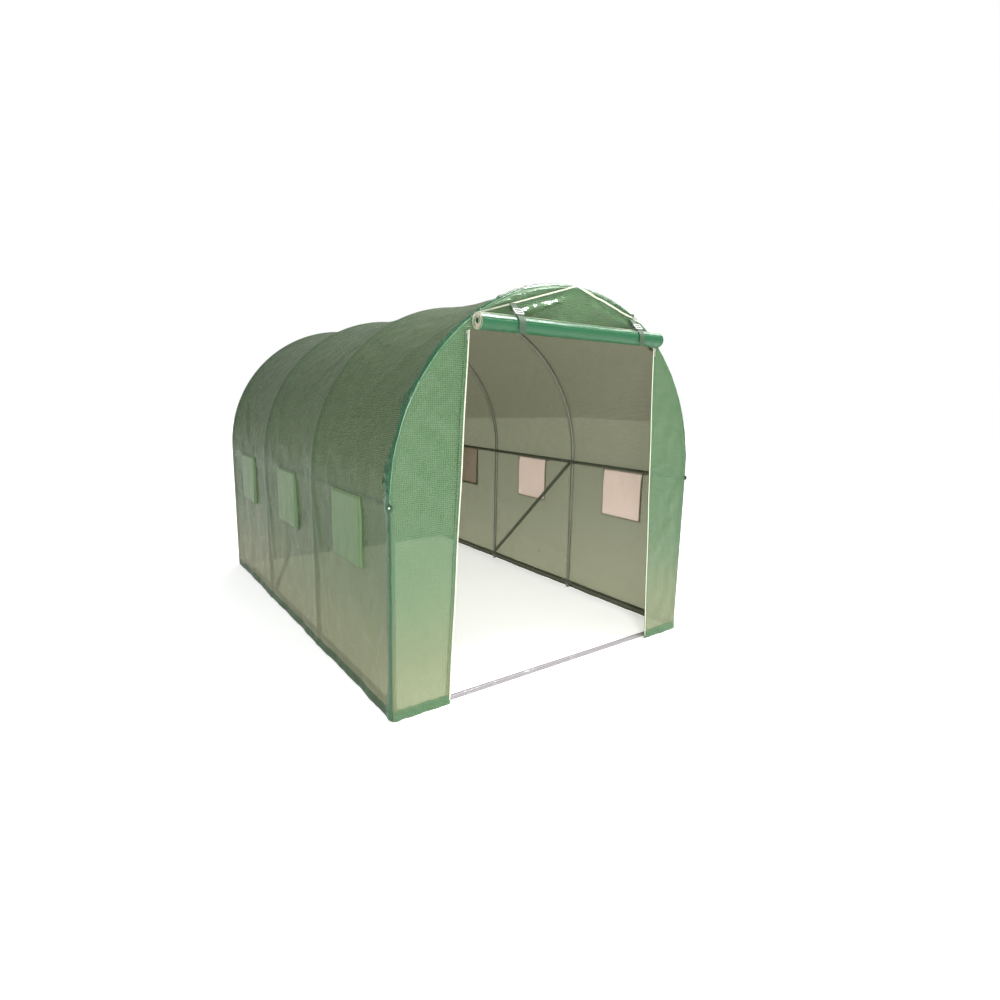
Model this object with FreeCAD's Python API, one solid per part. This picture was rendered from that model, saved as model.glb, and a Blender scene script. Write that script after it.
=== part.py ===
"""A walk-in tunnel greenhouse: four tubular steel hoops joined by rails and braces, under a fitted
sheet cover with a roll-up door in the front gable and six flapped windows in its long sides.

Frame: +Z up, +Y from the door to the rear, +X to the right as seen from the door. The origin is
on the ground, at the centre of the footprint of everything, the rolled door included.
All sizes are in millimetres.
"""

import FreeCAD, Part
import math
import os
from FreeCAD import Placement, Rotation, Vector

# ---- driving dimensions ----------------------------------------------------------------------
LENGTH = 3000.0  # over the cover, door to rear
WIDTH = 2000.0
HEIGHT = 2000.0
TUBE_R = 12.5
TUBE_WALL = 1.0
COVER_T = 1.2
BOLT_ROOM = 4.0  # slack between the tubes and the cover, which the bolt heads fill

# ---- frame -----------------------------------------------------------------------------------
SHELL_R = WIDTH / 2  # outside of the arched cover
SPRING_Z = HEIGHT - SHELL_R  # where the straight walls turn into the arch
COVER_TO_TUBE = COVER_T + BOLT_ROOM + TUBE_R
ARCH_R = SHELL_R - COVER_TO_TUBE  # centreline of a hoop
BORE_R = TUBE_R - TUBE_WALL
SPIGOT_R = BORE_R - 0.1  # a swaged tube end, which slides into the next tube
SPIGOT_BORE_R = SPIGOT_R - TUBE_WALL
SPIGOT_LENGTH = 45.0
NECK_LENGTH = 6.0  # where a swaged tube end narrows
SOCKET_Z = SPRING_Z - 40.0  # top of the leg's full width
CROWN_DEG = 60.0  # each crown tube spans from here to 180 less this
BASE_RAIL_Z = 45.0
MID_RAIL_Z = SPRING_Z - 15.0
SILL_Z = TUBE_R
TONGUE_T = 2 * TUBE_WALL  # a rail's end, pressed flat
TONGUE_LENGTH = 40.0
CRIMP_LENGTH = 30.0  # from the flat tongue to the round tube
SEAT_GAP = 0.1  # between a tube and the flat tongues or nuts against it
LAYER = TONGUE_T + 2 * SEAT_GAP  # tongues stacked on one bolt
BOLT_R = 3.0
BOLT_HOLE_R = 3.25
HEAD_R = 6.0
HEAD_CROWN_R = 3.6
HEAD_HEIGHT = 3.0
NUT_ACROSS_CORNERS = 11.5
NUT_BORE_R = 3.05
NUT_HEIGHT = 5.0
THREAD_END = 2.0  # thread showing past the nut

# ---- rolled door -----------------------------------------------------------------------------
DOOR_TOP_Z = 1745.0
DOOR_HALF_TOP = 610.0
DOOR_HALF_BOTTOM = 700.0  # the open door's edges splay towards the ground
DOOR_SEAM_Z = 1795.0  # where the door sheet is sewn to the gable
ROLL_R = 40.0
ROLL_BORE_R = 30.0
ROLL_HALF_LENGTH = 600.0
ROLL_Z = 1778.0
ROLL_GAP = 3.0  # between the roll and the gable
CURTAIN_HALF_WIDTH = 603.0
SHEET_GAP = 0.5
STRAP_X = (-380.0, 420.0)
STRAP_WIDTH = 38.0
STRAP_T = 1.5
STRAP_GAP = 1.0
STRAP_TOP_Z = 1905.0
STRAP_END_Z = 1736.0
STRAP_SLOPE_DEG = 45.0
BUCKLE_SIZE = (50.0, 36.0, 5.0)  # across the strap, along it, thick
BUCKLE_SLOT = (40.0, 9.0)
BUCKLE_BAR = 6.0  # between the two slots
BUCKLE_CORNER_R = 4.0
ZIP_WIDTH = 24.0
ZIP_T = 1.2
ZIP_END_Z = 20.0
SLIDER_Z = 1730.0
SLIDER_SIZE = (12.0, 5.0, 16.0)
PULL_SIZE = (7.0, 1.5, 34.0)

# ---- windows ---------------------------------------------------------------------------------
WINDOW_WIDTH = 340.0
WINDOW_LOW_Z = 645.0
WINDOW_HIGH_Z = 970.0
FLAP_MARGIN = 15.0  # a closed flap laps over its window by this all round
FLAP_T = 1.2
FLAP_GAP = 0.6
FLAP_ROLL_R = 15.0
FLAP_ROLL_BORE_R = 10.0
SCREEN_T = 1.0
SCREEN_GAP = 0.4
SCREEN_MARGIN = 10.0

# ---- places worked out from them -------------------------------------------------------------
FRONT_REACH = ROLL_GAP + 2 * ROLL_R + STRAP_GAP + STRAP_T  # door roll and straps
FRONT_Y = (FRONT_REACH - LENGTH) / 2  # front face of the front gable
REAR_Y = FRONT_Y + LENGTH
BAY = (LENGTH - 2 * COVER_TO_TUBE) / 3
HOOPS = ("front", "second", "third", "rear")
HOOP_Y = [FRONT_Y + COVER_TO_TUBE + BAY * i for i in range(len(HOOPS))]
BAYS = ("front", "middle", "rear")
SIDES = ("left", "right")
ROLL_Y = FRONT_Y - ROLL_GAP - ROLL_R
SPIGOT_DEG = math.degrees(SPIGOT_LENGTH / ARCH_R)
NECK_DEG = math.degrees(NECK_LENGTH / ARCH_R)
INSIDE_X = ARCH_R - TUBE_R  # inner side of the legs
X_AXIS = Vector(1, 0, 0)
Y_AXIS = Vector(0, 1, 0)
Z_AXIS = Vector(0, 0, 1)
DOWN = Vector(0, 0, -1)


# ---- shapes ----------------------------------------------------------------------------------
def on_side(shape, side):
    """The right-hand shape, or its mirror image for the left."""
    return shape if side == "right" else shape.mirror(Vector(), X_AXIS)


def hollow_rod(start, end, outer, inner):
    axis = end - start
    rod = Part.makeCylinder(outer, axis.Length, start, axis)
    return rod.cut(Part.makeCylinder(inner, axis.Length, start, axis))


def arched_rod(y, first_deg, last_deg, outer, inner):
    """A stretch of hoop, by its angles up from the right-hand springing."""
    start = Vector(ARCH_R, y, SPRING_Z)
    rim = Part.Wire(Part.makeCircle(outer, start, Z_AXIS))
    bore = Part.Wire(Part.makeCircle(inner, start, Z_AXIS))
    section = Part.Face(rim).cut(Part.Face(bore)).Faces[0]
    centre = Vector(0, y, SPRING_Z)
    rod = section.revolve(centre, -Y_AXIS, last_deg - first_deg)
    return rod.rotate(centre, -Y_AXIS, first_deg)


def block(low, high):
    size = high - low
    return Part.makeBox(size.x, size.y, size.z, low)


def prism(points, direction):
    """A closed polygon pushed along a direction."""
    return Part.Face(Part.makePolygon([*points, points[0]])).extrude(direction)


def joined(shapes):
    return shapes[0].fuse(shapes[1:]).removeSplitter()


def save(name, shape):
    shape.exportStep(f"parts/{name}.step")


# ---- bolts -----------------------------------------------------------------------------------
def bolt_places():
    """(tube centre, direction from head to nut, tongues under the nut) for every frame bolt."""
    places = []
    joint_deg = math.radians(CROWN_DEG + SPIGOT_DEG / 2)
    for i, y in enumerate(HOOP_Y):
        rails = 1 if i in (0, len(HOOPS) - 1) else 2
        for sign in (-1, 1):
            inward = X_AXIS * -sign
            at_base = rails + (HOOPS[i] == "third")
            at_middle = rails + (HOOPS[i] == "second")
            places.append((Vector(sign * ARCH_R, y, BASE_RAIL_Z), inward, at_base))
            places.append((Vector(sign * ARCH_R, y, MID_RAIL_Z), inward, at_middle))
            outward = Vector(sign * math.cos(joint_deg), 0, math.sin(joint_deg))
            joint = Vector(0, y, SPRING_Z) + outward * ARCH_R
            places.append((joint, -outward, 0))
            if rails == 1:
                into_tunnel = Y_AXIS if i == 0 else -Y_AXIS
                places.append((Vector(sign * ARCH_R, y, SILL_Z), into_tunnel, 1))
        places.append((Vector(0, y, SPRING_Z + ARCH_R), DOWN, rails))
    return places


def bolt_and_nut(centre, direction, tongues):
    """Built upright with the tube's centre at the origin, then turned into place."""
    grip_end = TUBE_R + tongues * LAYER + SEAT_GAP
    length = TUBE_R + grip_end + NUT_HEIGHT + THREAD_END
    shank = Part.makeCylinder(BOLT_R, length, Vector(0, 0, -TUBE_R))
    head = Part.makeCone(HEAD_CROWN_R, HEAD_R, HEAD_HEIGHT, Vector(0, 0, -TUBE_R - HEAD_HEIGHT))
    corners = [
        Vector(math.cos(math.radians(60 * k)), math.sin(math.radians(60 * k)), 0)
        * (NUT_ACROSS_CORNERS / 2)
        + Vector(0, 0, grip_end)
        for k in range(6)
    ]
    nut = prism(corners, Z_AXIS * NUT_HEIGHT)
    nut = nut.cut(Part.makeCylinder(NUT_BORE_R, NUT_HEIGHT, Vector(0, 0, grip_end)))
    pair = Part.makeCompound([joined([shank, head]), nut])
    pair.Placement = Placement(centre, Rotation(Z_AXIS, direction))
    return pair


def bolt_hole(centre, direction):
    reach = 3 * TUBE_R  # past the tube's wall and the tongues on it
    return Part.makeCylinder(BOLT_HOLE_R, 2 * reach, centre - direction * reach, direction)


BOLTS = bolt_places()
BOLT_HOLES = Part.makeCompound([bolt_hole(centre, way) for centre, way, _ in BOLTS])


def drilled(shape):
    return shape.cut(BOLT_HOLES)


def bolts():
    save("frame_bolts", Part.makeCompound([bolt_and_nut(*place) for place in BOLTS]))


# ---- hoops -----------------------------------------------------------------------------------
def leg(y):
    foot, neck, top = (Vector(ARCH_R, y, z) for z in (0, SOCKET_Z - NECK_LENGTH, SOCKET_Z))
    tip = top + Z_AXIS * SPIGOT_LENGTH
    return joined(
        [
            hollow_rod(foot, neck, TUBE_R, BORE_R),
            hollow_rod(neck, top, TUBE_R, SPIGOT_BORE_R),
            hollow_rod(top, tip, SPIGOT_R, SPIGOT_BORE_R),
        ]
    )


def shoulder_tube(y):
    low, high = (Vector(ARCH_R, y, z) for z in (SOCKET_Z, SPRING_Z))
    neck_deg = CROWN_DEG - NECK_DEG
    return joined(
        [
            hollow_rod(low, high, TUBE_R, BORE_R),
            arched_rod(y, 0, neck_deg, TUBE_R, BORE_R),
            arched_rod(y, neck_deg, CROWN_DEG, TUBE_R, SPIGOT_BORE_R),
            arched_rod(y, CROWN_DEG, CROWN_DEG + SPIGOT_DEG, SPIGOT_R, SPIGOT_BORE_R),
        ]
    )


def hoops():
    for hoop, y in zip(HOOPS, HOOP_Y):
        for side in SIDES:
            save(f"leg_{hoop}_{side}", drilled(on_side(leg(y), side)))
            save(f"shoulder_tube_{hoop}_{side}", drilled(on_side(shoulder_tube(y), side)))
        crown = arched_rod(y, CROWN_DEG, 180 - CROWN_DEG, TUBE_R, BORE_R)
        save(f"crown_tube_{hoop}", drilled(crown))


# ---- rails and braces ------------------------------------------------------------------------
def flat_end():
    """A rail's end along +X: a round-tipped flat tongue with the bolt at the origin, then a
    crimp that opens out to the full tube."""
    half = TONGUE_T / 2
    tongue = block(Vector(0, -TUBE_R, -half), Vector(TONGUE_LENGTH, TUBE_R, half))
    tip = Part.makeCylinder(TUBE_R, TONGUE_T, Vector(0, 0, -half))
    crimp_end = TONGUE_LENGTH + CRIMP_LENGTH
    wedge = prism(
        [
            Vector(TONGUE_LENGTH, -TUBE_R, -half),
            Vector(crimp_end, -TUBE_R, -TUBE_R),
            Vector(crimp_end, -TUBE_R, TUBE_R),
            Vector(TONGUE_LENGTH, -TUBE_R, half),
        ],
        Y_AXIS * (2 * TUBE_R),
    )
    rod = Part.makeCylinder(TUBE_R, CRIMP_LENGTH, Vector(TONGUE_LENGTH, 0, 0), X_AXIS)
    return joined([tip, tongue, wedge.common(rod)])


def rail(start, end, flat_normal):
    """A tube with both ends pressed flat, from one bolt to the other."""
    axis = end - start
    near = flat_end()
    far = near.mirror(Vector(axis.Length / 2, 0, 0), X_AXIS)
    crimp_end = TONGUE_LENGTH + CRIMP_LENGTH
    tube = hollow_rod(
        Vector(crimp_end, 0, 0), Vector(axis.Length - crimp_end, 0, 0), TUBE_R, BORE_R
    )
    whole = joined([near, tube, far])
    whole.Placement = Placement(start, Rotation(axis, Vector(), flat_normal, "XZY"))
    return drilled(whole)


def inner_layer(n):
    """Distance from the tunnel's middle plane to the nth tongue against a leg, counted from 0."""
    return INSIDE_X - LAYER * (n + 0.5)


def rear_layer(bay):
    """A rail's rear tongue lies over the next rail's front tongue, except on the last hoop."""
    return 0 if bay == len(BAYS) - 1 else 1


def long_rails():
    for bay, name in enumerate(BAYS):
        y0, y1 = HOOP_Y[bay], HOOP_Y[bay + 1]
        far = rear_layer(bay)
        for side in SIDES:
            for kind, z in (("base_rail", BASE_RAIL_Z), ("mid_rail", MID_RAIL_Z)):
                start = Vector(inner_layer(0), y0, z)
                end = Vector(inner_layer(far), y1, z)
                if side == "left":
                    start.x, end.x = -start.x, -end.x
                save(f"{kind}_{name}_{side}", rail(start, end, X_AXIS))
        top = Vector(0, y0, SPRING_Z + inner_layer(0))
        end = Vector(0, y1, SPRING_Z + inner_layer(far))
        save(f"ridge_rail_{name}", rail(top, end, Z_AXIS))


def braces():
    """One on each side, from the third hoop's foot up to the second hoop's middle."""
    for side, sign in zip(SIDES, (-1, 1)):
        x = sign * inner_layer(2)
        foot = Vector(x, HOOP_Y[2], BASE_RAIL_Z)
        head = Vector(x, HOOP_Y[1], MID_RAIL_Z)
        save(f"brace_{side}", rail(foot, head, X_AXIS))


def sills():
    """The tubes on the ground across the doorway and across the rear."""
    offset = TUBE_R + LAYER / 2
    for name, y in (("threshold_tube", HOOP_Y[0] + offset), ("rear_sill_tube", HOOP_Y[-1] - offset)):
        start, end = (Vector(sign * ARCH_R, y, SILL_Z) for sign in (-1, 1))
        save(name, rail(start, end, Y_AXIS))


# ---- cover -----------------------------------------------------------------------------------
def tunnel(inset, y0, y1):
    """The whole tunnel shape as a solid, its walls and arch moved inwards by inset."""
    r = SHELL_R - inset
    foot_left, spring_left = Vector(-r, y0, 0), Vector(-r, y0, SPRING_Z)
    foot_right, spring_right = Vector(r, y0, 0), Vector(r, y0, SPRING_Z)
    edges = [
        Part.makeLine(foot_left, spring_left),
        Part.Arc(spring_left, Vector(0, y0, SPRING_Z + r), spring_right).toShape(),
        Part.makeLine(spring_right, foot_right),
        Part.makeLine(foot_right, foot_left),
    ]
    return Part.Face(Part.Wire(edges)).extrude(Y_AXIS * (y1 - y0))


def window_centre(bay):
    return (HOOP_Y[bay] + HOOP_Y[bay + 1]) / 2


def window_panel(bay, margin, inner_x, outer_x):
    """A slab over the right-hand window of one bay, larger than it by margin all round."""
    y = window_centre(bay)
    half = WINDOW_WIDTH / 2 + margin
    low = Vector(inner_x, y - half, WINDOW_LOW_Z - margin)
    return block(low, Vector(outer_x, y + half, WINDOW_HIGH_Z + margin))


def cover():
    sheet = tunnel(0, FRONT_Y, REAR_Y).cut(tunnel(COVER_T, FRONT_Y, REAR_Y))
    for bay in range(len(BAYS)):
        hole = window_panel(bay, 0, SHELL_R - 2 * COVER_T, SHELL_R + COVER_T)
        for side in SIDES:
            sheet = sheet.cut(on_side(hole, side))
    save("cover_sheet", sheet)


def gables():
    front = tunnel(COVER_T, FRONT_Y, FRONT_Y + COVER_T)
    doorway = prism(
        [
            Vector(-DOOR_HALF_BOTTOM, FRONT_Y, 0),
            Vector(-DOOR_HALF_TOP, FRONT_Y, DOOR_TOP_Z),
            Vector(DOOR_HALF_TOP, FRONT_Y, DOOR_TOP_Z),
            Vector(DOOR_HALF_BOTTOM, FRONT_Y, 0),
        ],
        Y_AXIS * COVER_T,
    )
    save("front_gable", front.cut(doorway))
    save("rear_gable", tunnel(COVER_T, REAR_Y - COVER_T, REAR_Y))


# ---- door ------------------------------------------------------------------------------------
def door():
    """The sheet's short hanging stretch, sewn on above the doorway, and its rolled-up rest."""
    back = FRONT_Y - SHEET_GAP
    low = Vector(-CURTAIN_HALF_WIDTH, back - COVER_T, ROLL_Z)
    save("door_curtain", block(low, Vector(CURTAIN_HALF_WIDTH, back, DOOR_SEAM_Z)))
    ends = (Vector(sign * ROLL_HALF_LENGTH, ROLL_Y, ROLL_Z) for sign in (-1, 1))
    save("door_roll", hollow_rod(*ends, ROLL_R, ROLL_BORE_R))


def strap_line(radius, back_y):
    """One face of a strap seen from the side: down the gable, out over the roll at a slope,
    round its upper front and straight down before it."""
    slope = math.radians(STRAP_SLOPE_DEG)
    x = -STRAP_WIDTH / 2
    leaves_arc = Vector(x, ROLL_Y - radius * math.cos(slope), ROLL_Z + radius * math.sin(slope))
    half_slope = slope / 2
    middle = Vector(
        x, ROLL_Y - radius * math.cos(half_slope), ROLL_Z + radius * math.sin(half_slope)
    )
    front = Vector(x, ROLL_Y - radius, ROLL_Z)
    run = back_y - leaves_arc.y
    corner = Vector(x, back_y, leaves_arc.z + run / math.tan(slope))
    return [
        Part.makeLine(Vector(x, back_y, STRAP_TOP_Z), corner),
        Part.makeLine(corner, leaves_arc),
        Part.Arc(leaves_arc, middle, front).toShape(),
        Part.makeLine(front, Vector(front.x, front.y, STRAP_END_Z)),
    ]


def strap():
    """The strap about the plane x = 0."""
    back_radius = ROLL_R + STRAP_GAP
    back = strap_line(back_radius, FRONT_Y - SHEET_GAP)
    front = strap_line(back_radius + STRAP_T, FRONT_Y - SHEET_GAP - STRAP_T)
    top = Part.makeLine(back[0].Vertexes[0].Point, front[0].Vertexes[0].Point)
    end = Part.makeLine(back[-1].Vertexes[-1].Point, front[-1].Vertexes[-1].Point)
    outline = Part.Wire([*back, end, *reversed(front), top])
    return Part.Face(outline).extrude(X_AXIS * STRAP_WIDTH)


def buckle():
    """A ladder-lock plate with two slots, lying on the strap's slope."""
    across, along, thick = BUCKLE_SIZE
    slot_width, slot_length = BUCKLE_SLOT
    plate = Part.makeBox(across, along, thick, Vector(-across / 2, -along / 2, 0))
    plate = plate.makeFillet(BUCKLE_CORNER_R, [e for e in plate.Edges if abs(e.tangentAt(0).z) > 0.9])
    for sign in (-1, 1):
        middle = sign * (slot_length + BUCKLE_BAR) / 2
        low = Vector(-slot_width / 2, middle - slot_length / 2, 0)
        plate = plate.cut(Part.makeBox(slot_width, slot_length, thick, low))
    slope = math.radians(STRAP_SLOPE_DEG)
    normal = Vector(0, -math.cos(slope), math.sin(slope))
    along_slope = Vector(0, math.sin(slope), math.cos(slope))
    stands_off = ROLL_R + STRAP_GAP + STRAP_T + SHEET_GAP
    centre = Vector(0, ROLL_Y, ROLL_Z) + normal * stands_off + along_slope * along
    plate.Placement = Placement(centre, Rotation(X_AXIS, along_slope, normal, "ZXY"))
    return plate


def straps():
    for side, x in zip(SIDES, STRAP_X):
        save(f"strap_{side}", strap().translated(Vector(x, 0, 0)))
        save(f"buckle_{side}", buckle().translated(Vector(x, 0, 0)))


def door_edge_x(z):
    return DOOR_HALF_BOTTOM + (DOOR_HALF_TOP - DOOR_HALF_BOTTOM) * z / DOOR_TOP_Z


def zips():
    tape_y = FRONT_Y - SHEET_GAP
    low, high = door_edge_x(ZIP_END_Z), door_edge_x(DOOR_TOP_Z)
    tape = prism(
        [
            Vector(low, tape_y, ZIP_END_Z),
            Vector(low + ZIP_WIDTH, tape_y, ZIP_END_Z),
            Vector(high + ZIP_WIDTH, tape_y, DOOR_TOP_Z),
            Vector(high, tape_y, DOOR_TOP_Z),
        ],
        -Y_AXIS * ZIP_T,
    )
    centre_x = door_edge_x(SLIDER_Z) + ZIP_WIDTH / 2
    wide, deep, tall = SLIDER_SIZE
    back_y = tape_y - ZIP_T - SHEET_GAP
    body_low = Vector(centre_x - wide / 2, back_y - deep, SLIDER_Z - tall / 2)
    body = Part.makeBox(wide, deep, tall, body_low)
    pull_wide, pull_deep, pull_tall = PULL_SIZE
    pull_low = Vector(centre_x - pull_wide / 2, back_y - deep, SLIDER_Z - pull_tall)
    slider = joined([body, Part.makeBox(pull_wide, pull_deep, pull_tall, pull_low)])
    for side in SIDES:
        save(f"zip_tape_{side}", on_side(tape, side))
        save(f"zip_slider_{side}", on_side(slider, side))


# ---- windows ---------------------------------------------------------------------------------
ROLLED_UP = {("right", "front"), ("right", "middle")}  # the other four flaps hang closed


def rolled_flap(bay):
    half = WINDOW_WIDTH / 2 + FLAP_MARGIN
    x = SHELL_R + FLAP_GAP + FLAP_ROLL_R
    z = WINDOW_HIGH_Z + FLAP_MARGIN - FLAP_ROLL_R
    ends = (Vector(x, window_centre(bay) + sign * half, z) for sign in (-1, 1))
    return hollow_rod(*ends, FLAP_ROLL_R, FLAP_ROLL_BORE_R)


def windows():
    screens = []
    for bay, name in enumerate(BAYS):
        face = SHELL_R - COVER_T - SCREEN_GAP
        screen = window_panel(bay, SCREEN_MARGIN, face - SCREEN_T, face)
        closed = window_panel(
            bay, FLAP_MARGIN, SHELL_R + FLAP_GAP, SHELL_R + FLAP_GAP + FLAP_T
        )
        for side in SIDES:
            screens.append(on_side(screen, side))
            flap = rolled_flap(bay) if (side, name) in ROLLED_UP else closed
            save(f"window_flap_{name}_{side}", on_side(flap, side))
    save("window_screens", Part.makeCompound(screens))


os.makedirs("parts", exist_ok=True)
hoops()
bolts()
long_rails()
braces()
sills()
cover()
gables()
door()
straps()
zips()
windows()
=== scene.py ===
"""The looks of a walk-in tunnel greenhouse: woven film hung over its steel frame, a rolled-up door
held by two webbing straps, zips down the door's edges, and six windows with mesh and flaps.

Everything is in metres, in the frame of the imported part: +Z up, +Y from the door to the rear.
"""

import math

import bpy
import numpy as np
from mathutils import Matrix, Vector


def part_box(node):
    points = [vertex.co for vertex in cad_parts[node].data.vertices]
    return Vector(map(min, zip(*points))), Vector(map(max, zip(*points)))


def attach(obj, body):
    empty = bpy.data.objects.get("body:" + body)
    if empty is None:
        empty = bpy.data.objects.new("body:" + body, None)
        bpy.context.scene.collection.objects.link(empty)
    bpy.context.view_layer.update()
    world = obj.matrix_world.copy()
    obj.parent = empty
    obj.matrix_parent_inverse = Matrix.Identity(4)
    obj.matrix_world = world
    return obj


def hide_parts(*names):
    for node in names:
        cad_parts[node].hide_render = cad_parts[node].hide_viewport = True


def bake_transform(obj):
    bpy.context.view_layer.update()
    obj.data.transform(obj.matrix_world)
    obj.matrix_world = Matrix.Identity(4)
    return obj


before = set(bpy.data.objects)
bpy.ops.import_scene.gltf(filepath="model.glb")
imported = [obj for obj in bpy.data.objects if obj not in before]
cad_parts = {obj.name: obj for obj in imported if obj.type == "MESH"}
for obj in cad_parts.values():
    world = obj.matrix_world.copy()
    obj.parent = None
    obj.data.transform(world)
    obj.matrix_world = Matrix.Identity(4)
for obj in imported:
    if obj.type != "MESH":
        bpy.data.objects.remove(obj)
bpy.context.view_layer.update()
ROOT = "frame_and_cover"

# ---- places read from the frame --------------------------------------------------------------
COVER_LOW, COVER_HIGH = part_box("cover_sheet")
SHELL_R = COVER_HIGH.x
SPRING_Z = COVER_HIGH.z - SHELL_R
FRONT_Y, REAR_Y = COVER_LOW.y, COVER_HIGH.y
GIRTH = 2 * SPRING_Z + math.pi * SHELL_R  # over the tunnel from foot to foot
BAYS = ("front", "middle", "rear")
SIDES = ("left", "right")
SIGNS = {"left": -1, "right": 1}


def middle(node):
    low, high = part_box(node)
    return (low + high) / 2


HOOP_Y = [middle(f"crown_tube_{hoop}").y for hoop in ("front", "second", "third", "rear")]
MID_RAIL_Z = middle("mid_rail_front_left").z
CORNER_R = HOOP_Y[0] - FRONT_Y  # the film's turn round the end hoops
ROLL_LOW, ROLL_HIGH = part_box("door_roll")
ROLL = (ROLL_LOW + ROLL_HIGH) / 2
ROLL_R = (ROLL_HIGH.z - ROLL_LOW.z) / 2
ZIP_LOW, ZIP_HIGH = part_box("zip_tape_right")
ZIP_WIDTH = 0.024
DOOR_TOP_Z = ZIP_HIGH.z
DOOR_HALF_TOP = ZIP_LOW.x
DOOR_HALF_END = ZIP_HIGH.x - ZIP_WIDTH  # at the zip's lower end
CURTAIN_LOW, CURTAIN_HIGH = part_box("door_curtain")

# ---- cloth sizes -----------------------------------------------------------------------------
FILM = 0.0012
WINDOW_HALF = 0.170
WINDOW_LOW_Z = 0.645
WINDOW_HIGH_Z = 0.970
DOOR_TRAVEL = 1.73  # how far the rolled door comes down
FLAP_TRAVEL = 0.325
HEM = 0.050
SLEEVE = 0.085  # the loose stretch of film gathered over the front hoop
SEAM_IN = CORNER_R * (1 - math.cos(math.pi / 4))  # the front seam, half way round the hoop
PIPING_R = 0.0016
TAPE_HALF = 0.0034
TOOTH_R = 0.0034
TOOTH_PITCH = 0.006
WASHER_R = 0.013
WASHER_DEPTH = 0.008
RIVET_R = 0.004
RIVET_DEPTH = 0.012


# ---- shader maths ----------------------------------------------------------------------------
class Value:
    """A shader socket. Used in an expression, it adds the Math nodes that work it out."""

    def __init__(self, finish, socket):
        self.finish = finish
        self.socket = socket

    def maths(self, operation, *others):
        inputs = {i: other for i, other in enumerate([self, *others])}
        return self.finish.node("Math", {"operation": operation}, inputs)

    def __add__(self, other):
        return self.maths("ADD", other)

    def __sub__(self, other):
        return self.maths("SUBTRACT", other)

    def __rsub__(self, other):
        return (self * -1).maths("ADD", other)

    def __mul__(self, other):
        return self.maths("MULTIPLY", other)

    def __truediv__(self, other):
        return self.maths("DIVIDE", other)

    __radd__ = __add__
    __rmul__ = __mul__


class Finish:
    """One material and its nodes."""

    def __init__(self, name):
        self.material = bpy.data.materials.new(name)
        self.material.use_nodes = True
        self.nodes = self.material.node_tree.nodes
        self.links = self.material.node_tree.links
        self.nodes.clear()

    def node(self, kind, settings, inputs, output=0):
        """Adds a node, with its settings first and then its sockets' values or links."""
        made = self.nodes.new("ShaderNode" + kind)
        for name, value in settings.items():
            setattr(made, name, value)
        for name, value in inputs.items():
            if isinstance(value, Value):
                self.links.new(value.socket, made.inputs[name])
            else:
                made.inputs[name].default_value = value
        return Value(self, made.outputs[output])

    def done(self, shader):
        output = self.nodes.new("ShaderNodeOutputMaterial")
        self.links.new(shader.socket, output.inputs["Surface"])
        return self.material

    # coordinates
    def place(self):
        return self.node("TexCoord", {}, {}, "Object")

    def flat_layout(self):
        """Metres along and across the flat cloth."""
        return self.node("UVMap", {"uv_map": "UVMap"}, {})

    def split(self, vector):
        parts = self.node("SeparateXYZ", {}, {"Vector": vector})
        outputs = parts.socket.node.outputs
        return [Value(self, outputs[i]) for i in range(3)]

    # patterns
    def noise(self, where, scale, detail=3.0, rough=0.5):
        inputs = {"Vector": where, "Scale": scale, "Detail": detail, "Roughness": rough}
        return self.node("TexNoise", {}, inputs)

    def fade(self, value, start, end):
        """0 before start, 1 after end, smooth between them."""
        inputs = {"Value": value, "From Min": start, "From Max": end, "To Min": 0.0, "To Max": 1.0}
        return self.node("MapRange", {"interpolation_type": "SMOOTHSTEP"}, inputs)

    def stripe(self, value, pitch, share):
        """1 on a line of that share of the pitch, repeated, with soft edges."""
        off = (value / pitch).maths("FRACT").maths("SUBTRACT", 0.5).maths("ABSOLUTE")
        return self.fade(off, 0.5 - share, 0.5 - share * 0.4)

    def tint(self, mask, a, b):
        """Colour a where the mask is 0, colour b where it is 1."""
        settings = {"data_type": "RGBA"}
        return self.node("Mix", settings, {"Factor": mask, 6: a, 7: b}, 2)

    def bump(self, height, strength, distance):
        inputs = {"Height": height, "Strength": strength, "Distance": distance}
        return self.node("Bump", {}, inputs)

    def principled(self, inputs):
        return self.node("BsdfPrincipled", {}, inputs)

    def mixed(self, share, a, b):
        return self.node("MixShader", {}, {0: share, 1: a, 2: b})


def rgb(red, green, blue):
    """A linear colour from display values out of 255."""
    def linear(c):
        c = c / 255
        return c / 12.92 if c <= 0.04045 else ((c + 0.055) / 1.055) ** 2.4
    return (linear(red), linear(green), linear(blue), 1.0)


# ---- film finishes ---------------------------------------------------------------------------
SCRIM_PITCH = 0.009
CLEAR_GREEN = (0.76, 0.84, 0.66, 1.0)
CLEAR_GREY = (0.88, 0.86, 0.76, 1.0)


def scrim(finish, uv):
    """The film's square grid of reinforcing threads, from 0 between them to 1 on them."""
    u, v, _ = finish.split(uv)
    across = finish.stripe(u, SCRIM_PITCH, 0.16)
    along = finish.stripe(v, SCRIM_PITCH, 0.16)
    return across.maths("MAXIMUM", along)


def film_bump(finish, uv, threads, crinkle):
    """Broad swells, a few sharp creases, fine crinkles and the threads standing proud."""
    swells = finish.noise(uv, 4.5, 2.0, 0.5)
    ridged = (finish.noise(uv, 2.6, 3.0, 0.55) - 0.5).maths("ABSOLUTE")
    sharp = 1 - finish.fade(ridged, 0.0, 0.035)
    fine = finish.noise(uv, 34.0, 3.0, 0.5)
    height = swells * 1.3 + sharp * 0.10 + fine * 0.07
    return finish.bump(height * crinkle + threads * 0.035, 0.7, 0.012)


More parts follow.
